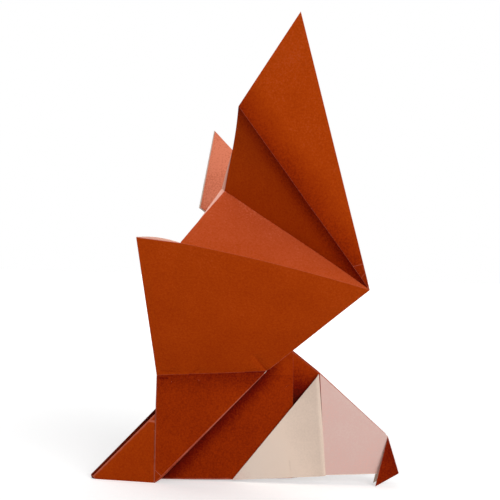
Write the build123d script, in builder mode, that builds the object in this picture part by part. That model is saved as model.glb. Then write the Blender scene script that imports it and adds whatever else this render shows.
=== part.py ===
from build123d import *

import os
from math import atan2, cos, radians, sin

# Origami eagle folded from one square sheet: raised pleated wings, tail, white head and beak.
# Millimetres. +X points to the beak, +Z is up. The sheet stands on the tips of its tail,
# of its two wing roots and of its beak. Every panel is flat and is turned about its crease
# by a named fold angle, so the panels keep the sizes that they have on the flat sheet.

# Paper
LAYER = 0.12            # one layer of the sheet
WING = 2 * LAYER        # the wings and the body sides are two layers thick
PRESSED = LAYER / 4     # how far a layer is pressed into the one that it lies on
ROUNDING = 0.6          # a fold's radius, for each millimetre of paper that it turns
FOLD_RADIUS = ROUNDING * WING

# Body: two sides that open upwards from a closed fold along the bottom
BODY_OPENING = 8.0      # lean of each side, degrees from upright
TAIL_LENGTH = 15.5      # tail tip to the wing root; the tail's upper edge rises at 45 degrees
HEAD_REACH = 59.8       # wing root to where the ridge would meet the bottom fold
COLLAR_EDGE = 30.2      # upright edge of the outer body layer
PEAK = 24.5             # the sides' raw edges run up to here, behind the wing
RAW_EDGE_START = 14.7   # where those edges leave the back's level edge
HEAD_FOLD_TOP = (35.8, 23.5)
HEAD_FOLD_FOOT = (37.4, 0.8)
HEAD_TIP = 17.2         # the white flap's tip, folded back along the bottom
HEAD_SPREAD = 1.6       # how much wider the white flap opens than the body, degrees
HEAD_DROP = 0.3         # the white flap wraps under the bottom fold
CHIN = (48.8, 1.4)

# Beak: the tip of the head folded down over its own side
BEAK_TOP = (51.5, 9.4)
BEAK_FOLD_FOOT = (54.0, 1.1)
BEAK_TIP = (48.8, -2.3)
BEAK_SPREAD = 1.7       # how far each beak tip stands out from the middle

# Wing root: a triangle that hangs from the level crease down to a foot
FOOT_SPREAD = 4.5       # foot to the middle plane
FOOT_WIDTH = 1.1
ROOT_LEAN = 5.0         # outwards going up, degrees
CREASE_HEIGHT = 24.5

# Wing: flat sizes of the panels, measured from the front point where the pleats meet
WING_WIDTH = 47.0
CORNER_HEIGHT = 60.3    # rear corner above the foot, along the fold edge
RAYS = (40.0, 38.7, 46.1, 57.8)
PLEATS = (29.6, 25.8, 21.6)

# Lean of the wing above the crease, turn about the upright, and the three pleat folds
NEAR_LEAN = 33.8
NEAR_TURN = -6.7
NEAR_FOLDS = (78.0, -80.4, 28.2)
FAR_LEAN = 38.0
FAR_TURN = 4.7
FAR_FOLDS = (108.0, -150.0, 60.0)

# The floor runs through the tail's tip and just above the beak's tip, which is pressed blunt
BEAK_BLUNT = 0.25
PITCH = atan2(-BEAK_TIP[1] - BEAK_BLUNT, BEAK_TIP[0] + TAIL_LENGTH)
STANCE = Plane(
    origin=(0, 0, TAIL_LENGTH * sin(PITCH)),
    x_dir=(cos(PITCH), 0, sin(PITCH)),
    z_dir=(-sin(PITCH), 0, cos(PITCH)),
)
TRIM = 1.5              # length below the floor that the feet are cut from

NEAR, FAR = -1, 1


def on_side(side, x, height, opening=BODY_OPENING, drop=0.0):
    """Point of a body side: x along the bottom fold, height measured along the leaning side."""
    lean = radians(opening)
    return Vector(x, side * height * sin(lean), height * cos(lean) - drop)


def panel(corners, thickness, shift=0.0):
    """Flat plate over corners of the body frame, shifted outwards from the middle plane."""
    points = [STANCE.from_local_coords(Vector(corner)) for corner in corners]
    along = points[1] - points[0]
    normal = along.cross(points[2] - points[0])
    if normal.Y * sum(point.Y for point in points) < 0:
        normal = -normal
    face = Plane(origin=points[0], x_dir=along, z_dir=normal).offset(shift)
    with BuildPart() as plate:
        with BuildSketch(face):
            with BuildLine():
                outline = [face.to_local_coords(point) for point in points]
                Polyline(*[(corner.X, corner.Y) for corner in outline], close=True)
            make_face()
        extrude(amount=thickness / 2, both=True)
    return plate.part


def fold(start, end, radius=FOLD_RADIUS):
    """Rounded fold between two panels."""
    first = STANCE.from_local_coords(Vector(start))
    last = STANCE.from_local_coords(Vector(end))
    with BuildPart() as bead:
        with BuildSketch(Plane(origin=first, z_dir=last - first)):
            Circle(radius)
        extrude(amount=(last - first).length)
    return bead.part


def turned(direction, axis, angle):
    """Direction turned about an axis through the origin, in degrees."""
    return direction.rotate(Axis((0, 0, 0), axis), angle)


def wing(side, lean, turn, folds):
    """One wing: its root, its broad panel and three pleats that fan from the front point."""
    forward = turned(Vector(1, 0, 0), (0, 0, 1), -side * turn)
    outward = turned(Vector(0, side, 0), (0, 0, 1), -side * turn)
    root_up = outward * sin(radians(ROOT_LEAN)) + Vector(0, 0, cos(radians(ROOT_LEAN)))
    wing_up = outward * sin(radians(lean)) + Vector(0, 0, cos(radians(lean)))

    foot = Vector(0, side * FOOT_SPREAD, 0)
    sole = foot - root_up * TRIM
    crease_rear = foot + root_up * CREASE_HEIGHT
    crease_front = crease_rear + forward * CREASE_HEIGHT
    rise = WING_WIDTH - CREASE_HEIGHT
    point = crease_rear + forward * WING_WIDTH + wing_up * rise
    corner = crease_rear + wing_up * (CORNER_HEIGHT - CREASE_HEIGHT)

    root = [sole, sole + forward * FOOT_WIDTH, foot + forward * FOOT_WIDTH, crease_front, crease_rear]
    pieces = [panel(root, WING), panel([crease_rear, crease_front, point, corner], WING)]
    pieces.append(fold(crease_rear, crease_front))

    # Each ray leaves the front point; the pleat between two rays turns about the first of them
    ray = (corner - point).normalized()
    across = ray.cross(forward.cross(wing_up)).normalized()
    if across.Z < 0:
        across = -across
    tip = point + ray * RAYS[0]
    for pleat, bend, length in zip(PLEATS, folds, RAYS[1:]):
        across = turned(across, ray, -side * bend)
        spread = radians(pleat)
        next_ray = ray * cos(spread) + across * sin(spread)
        across = across * cos(spread) - ray * sin(spread)
        next_tip = point + next_ray * length
        pieces.append(panel([point, tip, next_tip], WING))
        pieces.append(fold(point, tip))
        ray, tip = next_ray, next_tip

    # The fold at the wing root opens towards the foot, out from the body's side
    hem = on_side(side, 0, CREASE_HEIGHT)
    keel = on_side(side, 0, 0)
    pieces.append(panel([keel, foot, crease_rear, hem], LAYER))
    pieces.append(fold(foot, crease_rear, ROUNDING * LAYER))
    pieces.append(fold(keel, hem))
    return pieces


def body_side(side):
    """One half of the body: tail, side, outer layer, white head flap and beak."""
    rear = [on_side(side, RAW_EDGE_START, CREASE_HEIGHT), on_side(side, 0, CREASE_HEIGHT)]
    outline = [
        on_side(side, -TAIL_LENGTH, 0),
        on_side(side, CHIN[0] - CHIN[1], 0),
        on_side(side, *CHIN),
        on_side(side, *BEAK_FOLD_FOOT),
        on_side(side, *BEAK_TOP),
        on_side(side, PEAK, HEAD_REACH - PEAK),
        *rear,
        on_side(side, 0, TAIL_LENGTH),
    ]
    pieces = [panel(outline, WING)]

    collar = [
        on_side(side, 0, 0),
        on_side(side, COLLAR_EDGE, 0),
        on_side(side, COLLAR_EDGE, HEAD_REACH - COLLAR_EDGE - LAYER),
        on_side(side, PEAK, HEAD_REACH - PEAK - LAYER),
        *rear,
    ]
    pieces.append(panel(collar, LAYER, shift=(WING + LAYER) / 2 - PRESSED))

    spread = BODY_OPENING + HEAD_SPREAD
    flap = [
        on_side(side, HEAD_TIP, 0, spread, HEAD_DROP),
        on_side(side, *HEAD_FOLD_FOOT, spread, HEAD_DROP),
        on_side(side, *HEAD_FOLD_TOP, spread, HEAD_DROP),
    ]
    pieces.append(panel(flap, LAYER))
    pieces.append(fold(flap[1], flap[2], HEAD_DROP))

    tip = Vector(BEAK_TIP[0], side * BEAK_SPREAD, BEAK_TIP[1])
    beak = [on_side(side, *BEAK_TOP), on_side(side, *BEAK_FOLD_FOOT), tip]
    pieces.append(panel(beak, LAYER, shift=LAYER))
    pieces.append(fold(beak[0], beak[1], LAYER + WING / 2))
    return pieces


pieces = wing(NEAR, NEAR_LEAN, NEAR_TURN, NEAR_FOLDS) + wing(FAR, FAR_LEAN, FAR_TURN, FAR_FOLDS)
pieces += body_side(NEAR) + body_side(FAR)
pieces.append(fold(on_side(NEAR, -TAIL_LENGTH, 0), on_side(NEAR, CHIN[0] - CHIN[1], 0)))

with BuildPart() as sheet:
    add(pieces)
    split(bisect_by=Plane.XY, keep=Keep.TOP)

# The origin is on the floor, under the middle of the whole sheet
middle = sheet.part.bounding_box().center()
with BuildPart() as folded_sheet:
    with Locations((-middle.X, -middle.Y, 0)):
        add(sheet.part)

folded_sheet.part.label = "folded_sheet"
os.makedirs("parts", exist_ok=True)
export_step(folded_sheet.part, "parts/folded_sheet.step")
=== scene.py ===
from math import pi, sin, sqrt

import bmesh
import bpy
from mathutils import Matrix, Vector, geometry, noise


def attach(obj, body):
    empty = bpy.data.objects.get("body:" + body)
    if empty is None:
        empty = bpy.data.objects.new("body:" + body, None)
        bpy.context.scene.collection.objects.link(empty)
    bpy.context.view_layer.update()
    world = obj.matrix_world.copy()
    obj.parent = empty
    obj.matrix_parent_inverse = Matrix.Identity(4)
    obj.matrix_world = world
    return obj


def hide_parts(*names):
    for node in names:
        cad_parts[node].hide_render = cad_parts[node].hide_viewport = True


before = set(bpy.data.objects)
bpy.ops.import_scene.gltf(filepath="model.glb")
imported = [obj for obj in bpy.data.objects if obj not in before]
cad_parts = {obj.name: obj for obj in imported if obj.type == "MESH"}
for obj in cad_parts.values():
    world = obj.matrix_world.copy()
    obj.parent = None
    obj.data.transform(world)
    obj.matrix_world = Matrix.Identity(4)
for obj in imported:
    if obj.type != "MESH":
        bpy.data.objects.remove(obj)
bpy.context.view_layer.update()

# Paper, in millimetres: one layer, the gap between pressed layers, and how far the inner layer stops short
MM = 0.001
LAYER = 0.12
GAP = 0.02
BESIDE = (LAYER + GAP) / 2
SHORT = 0.4

# Mesh: a fold's least angle, the longest edge, and finer edges close to corners, curls and small creases
SHARP = 0.15
STEP = 2.2
FINE_STEP = 0.35
FINE_REACH = 1.3
CORNER = 0.05
ROUNDS = 40
SHELL_LIMIT = 1.4
FAR_OFF = 99.0

# Handled paper: waves with their height and length, small creases, and bends with their height and reach
RIPPLES = ((0.12, 17), (0.03, 6))
MARK_WIDTH = 1.2
FOLD_BOW = (0.6, 14.0)
EDGE_BOW = (0.6, 5.0)
NOTCH_PULL = (0.9, 13.0)
PLEAT_START = 0.5
PLEAT_CURL = 0.01
CURL_DEPTH = 0.6
FLAP_CURL = 0.9
BEAK_CURL = 0.35

# Body: its middle plane, and how far each side stands from it at the bottom and per millimetre of height
MIDDLE = -2.08
KEEL = 0.5
LEAN = 0.135

# The tail's tip is bent towards the near side, and its far side stands out past the near one
TAIL_BEND = -1.6
TAIL_HEIGHT = 15.8
FAR_TAIL_HEIGHT = 16.4

# Finishes of a layer's outer face; the slot after it is the layer's inner face
BROWN_OUT = 0
WHITE_OUT = 1
BROWN_BOTH = 2

# Corners of the folded sheet, in millimetres from the middle of the floor
NEAR_WING = {
    "foot": (-20.1, -6.6, 0.0),
    "toe": (-18.8, -6.7, 0.9),
    "crease_rear": (-20.2, -8.7, 24.3),
    "crease_front": (4.1, -11.6, 26.2),
    "point": (24.2, -26.6, 44.9),
    "rear_corner": (-23.6, -28.5, 54.2),
    "first_fold": (-14.7, -28.1, 53.3),
    "notch": (-6.2, -14.7, 65.1),
    "shoulder": (-3.7, -26.1, 81.8),
    "tip": (8.2, -31.4, 100.3),
}
FAR_WING = {
    "foot": (-20.1, 2.4, 0.0),
    "toe": (-18.8, 2.5, 0.9),
    "crease_rear": (-19.9, 4.5, 24.5),
    "crease_front": (4.5, 2.6, 25.9),
    "point": (27.4, 14.5, 44.1),
    "rear_corner": (-19.0, 26.5, 53.2),
    "first_fold": (-10.6, 24.3, 51.6),
    "notch": (-7.8, 5.1, 57.0),
    "shoulder": (-13.4, 23.5, 63.5),
    "tip": (-10.4, 31.3, 84.4),
}
WING_PANELS = (
    ("foot", "toe", "crease_front"),
    ("foot", "crease_front", "crease_rear"),
    ("crease_rear", "crease_front", "point"),
    ("crease_rear", "point", "first_fold"),
    ("crease_rear", "first_fold", "rear_corner"),
    ("first_fold", "point", "notch"),
    ("notch", "point", "shoulder"),
    ("shoulder", "point", "tip"),
)
ROOT_PANEL = ("hem_foot", "foot", "crease_rear", "hem")
ROOT = (0, 1)
SECOND_PLEAT = 6
LAST_PLEAT = 7

# Corners of the body's sides: length along the floor, height, and distance out from the side
BODY = {
    "tail_keel": (-33.6, 0.0, 0.0),
    "tail_tip": (-34.2, 0.7, 0.0),
    "hem_foot": (-20.2, 0.1, 0.0),
    "hem": (-20.1, 24.5, 0.0),
    "trough_rear": (-5.4, 25.3, 0.0),
    "peak": (4.0, 36.2, 0.0),
    "collar_top": (10.0, 30.0, 0.0),
    "collar_level": (10.2, 24.9, 0.0),
    "keel_front": (10.8, 1.2, 0.0),
    "keel_flap": (-3.5, 0.5, 0.0),
    "head_top": (16.2, 25.3, 0.0),
    "head_foot": (18.3, 2.1, 0.0),
    "chin": (30.3, 2.8, 0.0),
    "beak_foot": (35.0, 3.0, 0.0),
    "beak_top": (32.1, 11.5, 0.0),
    "beak_tip": (29.6, 0.05, 1.3),
    "flap_tip": (-2.8, 0.4, 0.25),
    "flap_foot": (18.5, 1.9, 0.3),
    "flap_top": (15.9, 25.2, 0.7),
}
KEEL_LINE = ("hem_foot", "keel_flap", "keel_front", "head_foot", "chin")
FAR_TAIL = {"tail_keel": (-34.5, 0.0, 0.0), "tail_tip": (-34.8, 0.8, 0.0)}

# Painted light and shade at the corners of each wing panel, from dark to light
WING_PAINTED_LIGHT = (
    (0.55, 0.5, 0.45),
    (0.55, 0.45, 0.45),
    (0.78, 0.78, 0.9),
    (0.78, 0.9, 0.95),
    (0.78, 0.95, 0.85),
    (1.25, 1.3, 1.5),
    (0.95, 0.5, 0.75),
    (0.95, 0.85, 1.0),
)
ROOT_PAINTED_LIGHT = 0.2
NEAR_INNER_PAINTED_LIGHT = 1.8
# The far wing's last pleat is painted brightest: painted light
FAR_INNER_PAINTED_LIGHT = (0.4, 0.4, 1.0, 1.0, 1.0, 1.2, 1.2, 1.95)

# The same for the rest of the sheet
BODY_PAINTED_LIGHT = 0.3
COLLAR_PAINTED_LIGHT = (0.45, 0.6)
HEAD_PAINTED_LIGHT = 1.3
BEAK_PAINTED_LIGHT = 0.15
TAIL_PAINTED_LIGHT = (0.75, 0.3, 0.2)
# The facet is painted dark towards its foot beside the flap: a painted shadow
FACET_PAINTED_LIGHT = (-2.6, -2.6, 0.55, 0.75, 0.3)
FLAP_PAINTED_LIGHT = (1.0, -0.15, -0.35)

# Painted shade beside folds, and a painted highlight where the amount is below zero: the panels, the fold,
# how far and how much
WING_PAINTED_SHADE = (
    (ROOT, "crease_rear", "crease_front", 4.5, 0.3),
    ((SECOND_PLEAT,), "shoulder", "point", 3.8, 0.55),
    ((LAST_PLEAT,), "shoulder", "point", 6.0, 0.6),
)
COLLAR_PAINTED_SHADOW = (3.8, 0.75)
FLAP_PAINTED_HIGHLIGHT = (1.2, -0.3)

# How strongly folds and raw edges are lighter, partly by wear and partly by a painted highlight, where that
# differs from the rest
EDGE_WEAR_AND_HIGHLIGHT = 0.12
MARK_WEAR_AND_HIGHLIGHT = 0.08
WING_WEAR_AND_HIGHLIGHT = (
    ("foot", "crease_rear", 0.3),
    ("toe", "crease_front", 0.25),
    ("crease_rear", "crease_front", 0.05),
    ("first_fold", "point", 0.05),
    ("notch", "point", 0.05),
    ("shoulder", "point", 0.05),
    ("notch", "shoulder", 0.05),
    ("shoulder", "tip", 0.05),
    ("point", "tip", 0.1),
    ("crease_front", "point", 0.15),
)
COLLAR_WEAR_AND_HIGHLIGHT = (
    ("hem_foot", "keel_flap", 0.6),
    ("keel_front", "collar_level", 0.05),
    ("collar_level", "collar_top", 0.05),
)
TAIL_WEAR_AND_HIGHLIGHT = (("near_tip", "near_top", 0.9), ("near_foot", "near_top", 0.6))

# Small creases of handled paper, with their depth; those that stand up have a depth below zero
WING_MARKS = (
    ((4.1, -11.6, 26.2), (1.6, -13.5, 29.3), 0.2),
    ((3.9, -11.5, 26.1), (-0.5, -11.0, 25.8), 0.12),
    ((-19.0, -9.4, 25.3), (-16.1, -9.6, 25.3), 0.12),
    ((-12.8, -9.5, 24.8), (-11.0, -10.5, 26.1), 0.08),
    ((-19.4, -8.7, 23.6), (-17.7, -8.9, 23.7), 0.1),
    ((-15.4, -9.2, 23.6), (-13.4, -9.4, 24.1), -0.15),
    ((-13.4, -9.4, 24.1), (-11.4, -9.7, 24.1), -0.15),
    ((-11.4, -9.7, 24.1), (-10.3, -9.7, 23.2), -0.12),
)
TAIL_MARKS = (((-23.5, -6.4, 4.3), (-21.4, -6.5, 1.0), -0.05),)
COLLAR_MARKS = (((6.7, 20.6, 0.0), (9.3, 22.7, 0.0), -0.04),)
FLAP_MARKS = (((10.0, 5.3, 0.3), (10.6, 1.6, 0.3), 0.03),)

# Colours of the two sides of the sheet by their painted light and shade, from dark to light
BROWN_SHADES = (
    (-0.5, (0.03, 0.003, 0.0015)),
    (0.0, (0.127, 0.005, 0.001)),
    (0.5, (0.262, 0.023, 0.001)),
    (1.0, (0.361, 0.043, 0.002)),
    (1.5, (0.44, 0.07, 0.021)),
    (2.0, (0.745, 0.223, 0.125)),
)
WHITE_SHADES = (
    (-0.3, (0.542, 0.426, 0.348)),
    (0.2, (0.687, 0.549, 0.449)),
    (0.8, (0.674, 0.561, 0.477)),
    (1.3, (0.61, 0.405, 0.363)),
    (1.8, (0.76, 0.39, 0.3)),
    (2.2, (0.8, 0.5, 0.4)),
)

# Surface of the paper: noise per metre, its useful span, and how much each effect changes the colour; sunk
# small creases get painted shade, and folds a lighter line of wear and painted highlight
CLOUDS = 110
FIBRES = 2600
FRAY = 700
NOISE_SPAN = (0.3, 0.7)
CLOUD_SHADE = 0.08
PRESSED_SHADE = 0.3
PRESSED_REACH = 0.35
FRAY_AMOUNT = 0.1
WEAR_AND_HIGHLIGHT_SPAN = (0.15, 0.5)
WEAR_AND_HIGHLIGHT_SHARE = 0.4
ROUGH_SPREAD = 0.06
FIBRE_BUMP = 0.25
FIBRE_HEIGHT = 0.00006

# Stage: the floor's size in metres, its glow for the camera near and far, and the light all round
FLOOR_SIZE = 4.0
GLOW_SPAN = (0.03, 0.5)
GLOW = (0.42, 1.0)
AMBIENT = 0.32
LAMP_AIM = (0, 0, 0.045)


def on_side(side, corner):
    """A corner of one of the body's leaning sides."""
    length, height, out = corner
    return Vector((length, MIDDLE + side * (KEEL + height * LEAN + out), height))


def beside(point, start, end):
    """Distance from a point to a straight line between two ends."""
    foot, share = geometry.intersect_point_line(point, start, end)
    if share < 0:
        foot = start
    elif share > 1:
        foot = end
    return (point - foot).length


def nearest(point, lines):
    """Distance from a point to the nearest of some lines, longer for lines with a smaller share."""
    return min((beside(point, start, end) / line_share for start, end, line_share in lines), default=FAR_OFF)


def given(value, *numbers):
    """A value that is given once for all, or for each panel, or for each corner of each panel."""
    for number in numbers:
        if isinstance(value, tuple):
            value = value[number]
    return value


def ripple(point):
    """Slight waviness of handled paper."""
    return sum(height * noise.noise(point / length) for height, length in RIPPLES)


def sharp(layer):
    """The folds between a layer's panels."""
    return [edge for edge in layer.edges if len(edge.link_faces) == 2 and edge.calc_face_angle() > SHARP]


def refine(layer, step, lines=None):
    """Halves the edges of triangles that are longer than a step, everywhere or only close to some lines."""
    left = set()
    for _ in range(ROUNDS):
        long_edges = [edge for edge in layer.edges if edge not in left and edge.calc_length() > step]
        if lines is not None:
            for edge in long_edges:
                if nearest((edge.verts[0].co + edge.verts[1].co) / 2, lines) > FINE_REACH:
                    left.add(edge)
            long_edges = [edge for edge in long_edges if edge not in left]
        if not long_edges:
            return
        halved = []
        taken = set()
        for edge in sorted(long_edges, key=lambda edge: -edge.calc_length()):
            if taken.isdisjoint(edge.link_faces):
                taken.update(edge.link_faces)
                halved.append(edge)
        bmesh.ops.subdivide_edges(layer, edges=halved, cuts=1, use_single_edge=True)


def add_layer(
    sheet, corners, panels, finish, painted_light, side, shift,
    moves=(), wear_and_shine=(), marks=(), painted_fold_bands=(), curls=(),
):
    """One layer of paper: flat panels that share their folds, waved and set beside its neighbours."""
    layer = bmesh.new()
    painted_light_loops = layer.loops.layers.float.new("painted_light")
    wear_and_highlight_distance = layer.verts.layers.float.new("wear_and_highlight")
    mark_distance = layer.verts.layers.float.new("mark")
    panel_number = layer.faces.layers.int.new("panel")
    used = {name for panel in panels for name in panel}
    points = {name: layer.verts.new(corners[name]) for name in corners if name in used}
    names = {vertex: name for name, vertex in points.items()}
    for number, panel in enumerate(panels):
        face = layer.faces.new([points[name] for name in panel])
        face.material_index = given(finish, number)
        face[panel_number] = number
        # Painted light and shade, given for each corner of each panel
        for corner, loop in enumerate(face.loops):
            loop[painted_light_loops] = given(painted_light, number, corner)
    layer.normal_update()
    outward = sum((face.normal * face.calc_area() for face in layer.faces), Vector())
    if outward.y * side < 0:
        bmesh.ops.reverse_faces(layer, faces=layer.faces[:])
    creases = sharp(layer)
    lines = []
    for edge in creases + [edge for edge in layer.edges if len(edge.link_faces) == 1]:
        ends = {names[vertex] for vertex in edge.verts}
        line_share = next((share for first, second, share in wear_and_shine if ends == {first, second}), EDGE_WEAR_AND_HIGHLIGHT)
        lines.append((edge.verts[0].co.copy(), edge.verts[1].co.copy(), line_share))
    # Raised small creases get a lighter line of wear and painted highlight; sunk ones get painted shade
    lines += [(start, end, MARK_WEAR_AND_HIGHLIGHT) for start, end, depth in marks if depth < 0]
    sunk = [(start, end, 1.0) for start, end, depth in marks if depth > 0]
    fine = [(start, end, 1.0) for start, end, depth in marks]
    fine += [(start, end, 1.0) for start, end in curls]
    for face in layer.faces:
        middle = face.calc_center_median()
        fine += [(vertex.co.copy(), vertex.co.lerp(middle, CORNER), 1.0) for vertex in face.verts]
    for edge in layer.edges:
        edge.smooth = edge not in creases and len(edge.link_faces) == 2
    bmesh.ops.triangulate(layer, faces=layer.faces[:])
    refine(layer, STEP)
    refine(layer, FINE_STEP, fine)
    layer.normal_update()
    # Painted shade beside some folds; an amount below zero paints a highlight instead
    for face in layer.faces:
        for numbers, start, end, reach, amount in painted_fold_bands:
            if face[panel_number] in numbers:
                for loop in face.loops:
                    loop[painted_light_loops] -= amount * max(0.0, 1 - beside(loop.vert.co, start, end) / reach)
    shifts = {}
    for vertex in layer.verts:
        vertex[wear_and_highlight_distance] = nearest(vertex.co, lines)
        vertex[mark_distance] = nearest(vertex.co, sunk)
        lift = shift * min(SHELL_LIMIT, vertex.calc_shell_factor()) + ripple(vertex.co)
        for start, end, depth in marks:
            lift -= depth * max(0.0, 1 - beside(vertex.co, start, end) / MARK_WIDTH)
        panel = {face[panel_number] for face in vertex.link_faces}
        shifts[vertex] = vertex.normal * lift
        for move in moves:
            shifts[vertex] += move(vertex.co, vertex.normal, panel)
    for vertex, move in shifts.items():
        vertex.co += move
    for face in layer.faces:
        face.smooth = True
    kept = bpy.data.meshes.new("layer")
    layer.to_mesh(kept)
    layer.free()
    sheet.from_mesh(kept)
    bpy.data.meshes.remove(kept)


def bowed(start, end, direction, height, reach):
    """An edge that bows away from its straight line."""
    def move(point, normal, panel):
        foot, share = geometry.intersect_point_line(point, start, end)
        if not 0 < share < 1:
            return Vector()
        fade = max(0.0, 1 - (point - foot).length / reach)
        return direction * (height * sin(pi * share) * fade)
    return move


def pulled(corner, direction, height, reach):
    """A corner that sticks out past the layer in front of it."""
    def move(point, normal, panel):
        return direction * (height * max(0.0, 1 - (point - corner).length / reach))
    return move


def curled(start, end, radius):
    """A folded edge that turns in towards the layer under it."""
    def move(point, normal, panel):
        foot, share = geometry.intersect_point_line(point, start, end)
        reach = max(0.0, 1 - (point - foot).length / radius)
        return normal * (-radius * CURL_DEPTH * (1 - sqrt(1 - reach * reach)))
    return move


def fanned(number, point, ray, spread, depth):
    """A pleat that curls in beside its first fold, by a share of its length, and comes back to its second."""
    deepest = 27 / 4
    def move(place, normal, panel):
        arm = place - point
        if panel != {number} or arm.length < PLEAT_START:
            return Vector()
        share = min(1.0, arm.angle(ray) / spread)
        return normal * (-depth * arm.length * deepest * share * (1 - share) ** 2)
    return move


def add_wing(sheet, side, wing, body, inner_painted_light, marks):
    """One wing: an outer layer with its root, and an inner layer that peeks out at the rear."""
    corners = {name: Vector(corner) for name, corner in wing.items()}
    corners["hem"] = body["hem"]
    corners["hem_foot"] = body["hem_foot"]
    marks = [(Vector(start), Vector(end), depth) for start, end, depth in marks]
    painted_fold_bands = [(panels, corners[a], corners[b], reach, dim) for panels, a, b, reach, dim in WING_PAINTED_SHADE]
    point = corners["point"]
    up = (corners["rear_corner"] - corners["crease_rear"]).normalized()
    ray = corners["shoulder"] - point
    along = corners["notch"] - point
    bends = [
        bowed(corners["first_fold"], point, up, *FOLD_BOW),
        fanned(SECOND_PLEAT, point, ray, ray.angle(along), PLEAT_CURL),
    ]
    add_layer(
        sheet, corners, WING_PANELS, BROWN_OUT, WING_PAINTED_LIGHT, side, BESIDE,
        bends, WING_WEAR_AND_HIGHLIGHT, marks, painted_fold_bands,
    )
    add_layer(sheet, corners, (ROOT_PANEL,), BROWN_BOTH, ROOT_PAINTED_LIGHT, side, 0.0, (), WING_WEAR_AND_HIGHLIGHT)
    bends.append(pulled(corners["notch"], along.normalized(), *NOTCH_PULL))
    bends.append(bowed(corners["rear_corner"], corners["first_fold"], up, *EDGE_BOW))
    for name in ("shoulder", "tip"):
        corners[name] = corners[name] + (point - corners[name]).normalized() * SHORT
    add_layer(sheet, corners, WING_PANELS, WHITE_OUT, inner_painted_light, side, -BESIDE, bends, (), marks)


def add_body_side(sheet, side, body, wing):
    """One side of the body: side, collar, white flap and beak."""
    collar_marks, flap_marks = (
        [(on_side(side, a), on_side(side, b), depth) for a, b, depth in marks]
        for marks in (COLLAR_MARKS, FLAP_MARKS)
    )
    collar = ("hem_foot", "keel_flap", "keel_front", "collar_level", "hem")
    shoulder = ("hem", "collar_level", "collar_top", "peak", "trough_rear")
    facet = ("keel_front", "head_foot", "head_top", "collar_top", "collar_level")
    head = ("head_foot", "chin", "beak_foot", "beak_top", "head_top")
    add_layer(
        sheet, body, (collar, shoulder, facet, head), (BROWN_BOTH, BROWN_BOTH, BROWN_BOTH, WHITE_OUT),
        (BODY_PAINTED_LIGHT, BODY_PAINTED_LIGHT, FACET_PAINTED_LIGHT, HEAD_PAINTED_LIGHT), side, 0.0,
    )
    under_wing = []
    for name in ("toe", "crease_front"):
        length, _, height = wing[name]
        under_wing.append(on_side(side, (length, height, 0.0)))
    # The collar is painted darker beside the wing's front edge: a painted shadow of the wing
    add_layer(
        sheet, body, (collar, shoulder), BROWN_OUT, COLLAR_PAINTED_LIGHT, side, 2 * BESIDE,
        (), COLLAR_WEAR_AND_HIGHLIGHT, collar_marks, [((0, 1), *under_wing, *COLLAR_PAINTED_SHADOW)],
    )
    fold = (body["flap_foot"], body["flap_top"])
    # The flap is painted lighter beside its fold: a painted highlight
    add_layer(
        sheet, body, (("flap_tip", "flap_foot", "flap_top"),), WHITE_OUT, (FLAP_PAINTED_LIGHT,), side, BESIDE,
        [curled(*fold, FLAP_CURL)], (), flap_marks, [((0,), *fold, *FLAP_PAINTED_HIGHLIGHT)], [fold],
    )
    fold = (body["beak_top"], body["beak_foot"])
    add_layer(
        sheet, body, (("beak_top", "beak_tip", "beak_foot"),), BROWN_OUT, BEAK_PAINTED_LIGHT, side, 2 * BESIDE,
        [curled(*fold, BEAK_CURL)], curls=[fold],
    )


def add_tail(sheet, bodies, wings):
    """The tail: one band from the near wing root round the tail's tip to the far wing root."""
    corners = {}
    for label, body, wing, height in zip(("near_", "far_"), bodies, wings, (TAIL_HEIGHT, FAR_TAIL_HEIGHT)):
        foot = Vector(wing["foot"])
        rise = Vector(wing["crease_rear"]) - foot
        inward = Vector((0, MIDDLE - foot.y, 0)).normalized() * LAYER
        corners[label + "keel"] = body["tail_keel"] + Vector((0, TAIL_BEND, 0))
        corners[label + "tip"] = body["tail_tip"] + Vector((0, TAIL_BEND, 0))
        corners[label + "foot"] = foot + inward
        corners[label + "top"] = foot + inward + rise * (height / rise.z)
    panels = (
        ("near_keel", "near_foot", "near_top", "near_tip"),
        ("near_keel", "near_tip", "far_tip", "far_keel"),
        ("far_keel", "far_tip", "far_top", "far_foot"),
    )
    marks = [(Vector(start), Vector(end), depth) for start, end, depth in TAIL_MARKS]
    add_layer(sheet, corners, panels, BROWN_BOTH, TAIL_PAINTED_LIGHT, -1, 0.0, (), TAIL_WEAR_AND_HIGHLIGHT, marks)


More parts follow.
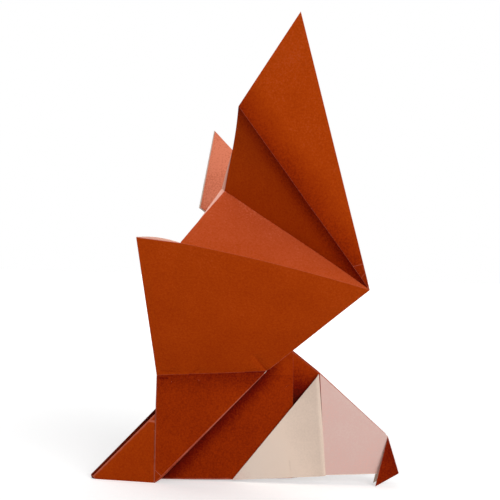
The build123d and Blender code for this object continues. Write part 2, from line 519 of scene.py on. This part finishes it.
def fold_eagle():
    """The whole folded sheet in one mesh, in metres."""
    sheet = bmesh.new()
    sides = []
    for side, wing, shape, inner_painted_light, marks in (
        (-1, NEAR_WING, BODY, NEAR_INNER_PAINTED_LIGHT, WING_MARKS),
        (1, FAR_WING, {**BODY, **FAR_TAIL}, FAR_INNER_PAINTED_LIGHT, ()),
    ):
        body = {name: on_side(side, corner) for name, corner in shape.items()}
        sides.append(body)
        add_wing(sheet, side, wing, body, inner_painted_light, marks)
        add_body_side(sheet, side, body, wing)
    add_tail(sheet, sides, (NEAR_WING, FAR_WING))
    keel = {}
    for name in KEEL_LINE:
        keel[name] = sides[0][name]
        keel["far_" + name] = sides[1][name]
    strips = tuple((a, b, "far_" + b, "far_" + a) for a, b in zip(KEEL_LINE, KEEL_LINE[1:]))
    finish = (BROWN_BOTH,) * 3 + (WHITE_OUT,)
    add_layer(sheet, keel, strips, finish, BODY_PAINTED_LIGHT, -1, 0.0)

    bmesh.ops.transform(sheet, matrix=Matrix.Scale(MM, 4), verts=sheet.verts)
    mesh = bpy.data.meshes.new("folded_paper")
    sheet.to_mesh(mesh)
    sheet.free()
    eagle = bpy.data.objects.new("folded_paper", mesh)
    bpy.context.scene.collection.objects.link(eagle)
    thickness = eagle.modifiers.new("layer_thickness", "SOLIDIFY")
    thickness.thickness = LAYER * MM
    thickness.offset = 0
    thickness.material_offset = 1
    return eagle


def link(tree, start, end):
    """Joins two sockets."""
    tree.links.new(start, end)


def noise_node(tree, vector, scale, detail, roughness=0.5):
    """Soft noise at a place."""
    node = tree.nodes.new("ShaderNodeTexNoise")
    node.inputs["Scale"].default_value = scale
    node.inputs["Detail"].default_value = detail
    node.inputs["Roughness"].default_value = roughness
    link(tree, vector, node.inputs["Vector"])
    return node.outputs["Fac"]


def ranged(tree, value, low, high, out_low=0.0, out_high=1.0):
    """A value brought from one span to another."""
    node = tree.nodes.new("ShaderNodeMapRange")
    node.inputs["From Min"].default_value = low
    node.inputs["From Max"].default_value = high
    node.inputs["To Min"].default_value = out_low
    node.inputs["To Max"].default_value = out_high
    link(tree, value, node.inputs["Value"])
    return node.outputs["Result"]


def mixed(tree, factor, first, second):
    """Mix of two colours, each a plain colour or another node's output."""
    node = tree.nodes.new("ShaderNodeMix")
    node.data_type = "RGBA"
    link(tree, factor, node.inputs["Factor"])
    for name, colour in (("A", first), ("B", second)):
        socket = [s for s in node.inputs if s.name == name and s.type == "RGBA"][0]
        if isinstance(colour, tuple):
            socket.default_value = (*colour, 1)
        else:
            link(tree, colour, socket)
    return [s for s in node.outputs if s.type == "RGBA"][0]


def paper_grain_group():
    """Fibres, cloudiness, folds lighter by wear and painted highlight, and painted shade in small creases of
    one sheet of paper.
    """
    tree = bpy.data.node_groups.new("paper_grain", "ShaderNodeTree")
    for name in ("Clouds", "Fibres", "Wear_and_highlight", "Crease_shade"):
        tree.interface.new_socket(name, in_out="OUTPUT", socket_type="NodeSocketFloat")
    out = tree.nodes.new("NodeGroupOutput")
    where = tree.nodes.new("ShaderNodeTexCoord").outputs["Object"]
    link(tree, noise_node(tree, where, CLOUDS, 3), out.inputs["Clouds"])
    link(tree, noise_node(tree, where, FIBRES, 2, 0.6), out.inputs["Fibres"])
    # Folds and raw edges are lighter: partly wear, partly a painted highlight
    attribute = tree.nodes.new("ShaderNodeAttribute")
    attribute.attribute_name = "wear_and_highlight"
    uneven = ranged(tree, noise_node(tree, where, FRAY, 2), *NOISE_SPAN, -FRAY_AMOUNT, FRAY_AMOUNT)
    frayed = summed(tree, attribute.outputs["Fac"], uneven)
    link(tree, ranged(tree, frayed, *WEAR_AND_HIGHLIGHT_SPAN, 1.0, 0.0), out.inputs["Wear_and_highlight"])
    # Painted shade in sunk small creases
    pressed = tree.nodes.new("ShaderNodeAttribute")
    pressed.attribute_name = "mark"
    link(tree, ranged(tree, pressed.outputs["Fac"], 0.0, PRESSED_REACH, 1.0, 0.0), out.inputs["Crease_shade"])
    return tree


def shaded(tree, value, shades):
    """Colour of the paper by its painted light and shade."""
    low = shades[0][0]
    high = shades[-1][0]
    node = tree.nodes.new("ShaderNodeValToRGB")
    link(tree, ranged(tree, value, low, high), node.inputs["Fac"])
    stops = node.color_ramp.elements
    stops.remove(stops[1])
    stops[0].color = (*shades[0][1], 1)
    for amount, colour in shades[1:]:
        stops.new((amount - low) / (high - low)).color = (*colour, 1)
    return node.outputs["Color"]


def summed(tree, first, second):
    """Sum of two values."""
    node = tree.nodes.new("ShaderNodeMath")
    link(tree, first, node.inputs[0])
    link(tree, second, node.inputs[1])
    return node.outputs[0]


def paper(name, grain, shades, wear_and_highlight, fibres, roughness, specular):
    """Matte paper: painted light and shade, clouds, fibres, painted shade in small creases, and folds lighter
    by wear and painted highlight.
    """
    material = bpy.data.materials.new(name)
    material.use_nodes = True
    tree = material.node_tree
    shader = tree.nodes["Principled BSDF"]
    group = tree.nodes.new("ShaderNodeGroup")
    group.node_tree = grain
    attribute = tree.nodes.new("ShaderNodeAttribute")
    attribute.attribute_name = "painted_light"
    painted_light = attribute.outputs["Fac"]
    # Clouds and fibres vary the tone at random; sunk small creases get painted shade
    for effect, low, high, least, most in (
        ("Clouds", *NOISE_SPAN, -CLOUD_SHADE, CLOUD_SHADE),
        ("Fibres", *NOISE_SPAN, -fibres, fibres),
        ("Crease_shade", 0.0, 1.0, 0.0, -PRESSED_SHADE),
    ):
        painted_light = summed(tree, painted_light, ranged(tree, group.outputs[effect], low, high, least, most))
    # Folds and edges lighter, partly by wear and partly by a painted highlight
    wear_and_shine = ranged(tree, group.outputs["Wear_and_highlight"], 0, 1, 0, WEAR_AND_HIGHLIGHT_SHARE)
    colour = mixed(tree, wear_and_shine, shaded(tree, painted_light, shades), wear_and_highlight)
    link(tree, colour, shader.inputs["Base Color"])
    smoothest = roughness - ROUGH_SPREAD
    roughest = roughness + ROUGH_SPREAD
    rough = ranged(tree, group.outputs["Fibres"], *NOISE_SPAN, smoothest, roughest)
    link(tree, rough, shader.inputs["Roughness"])
    shader.inputs["Specular IOR Level"].default_value = specular
    bump = tree.nodes.new("ShaderNodeBump")
    bump.inputs["Strength"].default_value = FIBRE_BUMP
    bump.inputs["Distance"].default_value = FIBRE_HEIGHT
    link(tree, group.outputs["Fibres"], bump.inputs["Height"])
    link(tree, bump.outputs["Normal"], shader.inputs["Normal"])
    return material


# The folded sheet
eagle = fold_eagle()
grain = paper_grain_group()
# The second colour of each paper is for its folds and edges, lighter by wear and painted highlight
brown_paper = paper("brown_paper", grain, BROWN_SHADES, (0.58, 0.2, 0.14), 0.18, 0.55, 0.01)
white_paper = paper("white_paper", grain, WHITE_SHADES, (0.8, 0.68, 0.6), 0.09, 0.6, 0.15)
for finish in (brown_paper, white_paper, brown_paper):
    eagle.data.materials.append(finish)
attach(eagle, "root")
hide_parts("folded_sheet")

# Pale floor that keeps the shadow
floor_mesh = bmesh.new()
bmesh.ops.create_grid(floor_mesh, x_segments=1, y_segments=1, size=FLOOR_SIZE)
floor_data = bpy.data.meshes.new("floor")
floor_mesh.to_mesh(floor_data)
floor_mesh.free()
floor = bpy.data.objects.new("floor", floor_data)
bpy.context.scene.collection.objects.link(floor)
floor_paint = bpy.data.materials.new("floor_paint")
floor_paint.use_nodes = True
tree = floor_paint.node_tree
floor_shader = tree.nodes["Principled BSDF"]
floor_shader.inputs["Base Color"].default_value = (0.82, 0.82, 0.82, 1)
floor_shader.inputs["Roughness"].default_value = 0.9
floor_shader.inputs["Emission Color"].default_value = (1, 1, 1, 1)
seen = tree.nodes.new("ShaderNodeLightPath").outputs["Is Camera Ray"]
away = tree.nodes.new("ShaderNodeVectorMath")
away.operation = "LENGTH"
link(tree, tree.nodes.new("ShaderNodeTexCoord").outputs["Object"], away.inputs[0])
glow = tree.nodes.new("ShaderNodeMath")
glow.operation = "MULTIPLY"
link(tree, seen, glow.inputs[0])
link(tree, ranged(tree, away.outputs["Value"], *GLOW_SPAN, *GLOW), glow.inputs[1])
link(tree, glow.outputs[0], floor_shader.inputs["Emission Strength"])
floor_data.materials.append(floor_paint)

# Plain soft light
world = bpy.data.worlds.new("studio")
bpy.context.scene.world = world
world.use_nodes = True
tree = world.node_tree
background = tree.nodes["Background"]
background.inputs["Color"].default_value = (1, 1, 1, 1)
rays = tree.nodes.new("ShaderNodeLightPath")
shown = rays.outputs["Is Camera Ray"]
for kind in ("Is Glossy Ray", "Is Transmission Ray"):
    either = tree.nodes.new("ShaderNodeMath")
    either.operation = "MAXIMUM"
    link(tree, shown, either.inputs[0])
    link(tree, rays.outputs[kind], either.inputs[1])
    shown = either.outputs[0]
link(tree, ranged(tree, shown, 0, 1, AMBIENT, 1.0), background.inputs["Strength"])


def soft_lamp(name, position, size, power):
    """A square lamp that faces the eagle's middle."""
    data = bpy.data.lights.new(name, "AREA")
    data.size = size
    data.energy = power
    lamp = bpy.data.objects.new(name, data)
    lamp.location = position
    aim = Vector(LAMP_AIM) - Vector(position)
    lamp.rotation_euler = aim.to_track_quat("-Z", "Y").to_euler()
    bpy.context.scene.collection.objects.link(lamp)


soft_lamp("front", (0.27, -0.5, 0.2), 0.35, 2.6)
soft_lamp("overhead", (0.0, -0.05, 0.6), 0.4, 0.8)

# Camera where the photograph was taken from
camera_data = bpy.data.cameras.new("camera")
camera_data.sensor_width = 36
camera_data.lens = 72
camera = bpy.data.objects.new("camera", camera_data)
camera.matrix_world = Matrix((
    (0.99951, -0.03025, -0.00822, -0.00219),
    (-0.00870, -0.01572, -0.99984, -0.23083),
    (0.03012, 0.99942, -0.01598, 0.04905),
    (0, 0, 0, 1),
))
bpy.context.scene.collection.objects.link(camera)
bpy.context.scene.camera = camera

bpy.context.scene.view_settings.view_transform = "Standard"
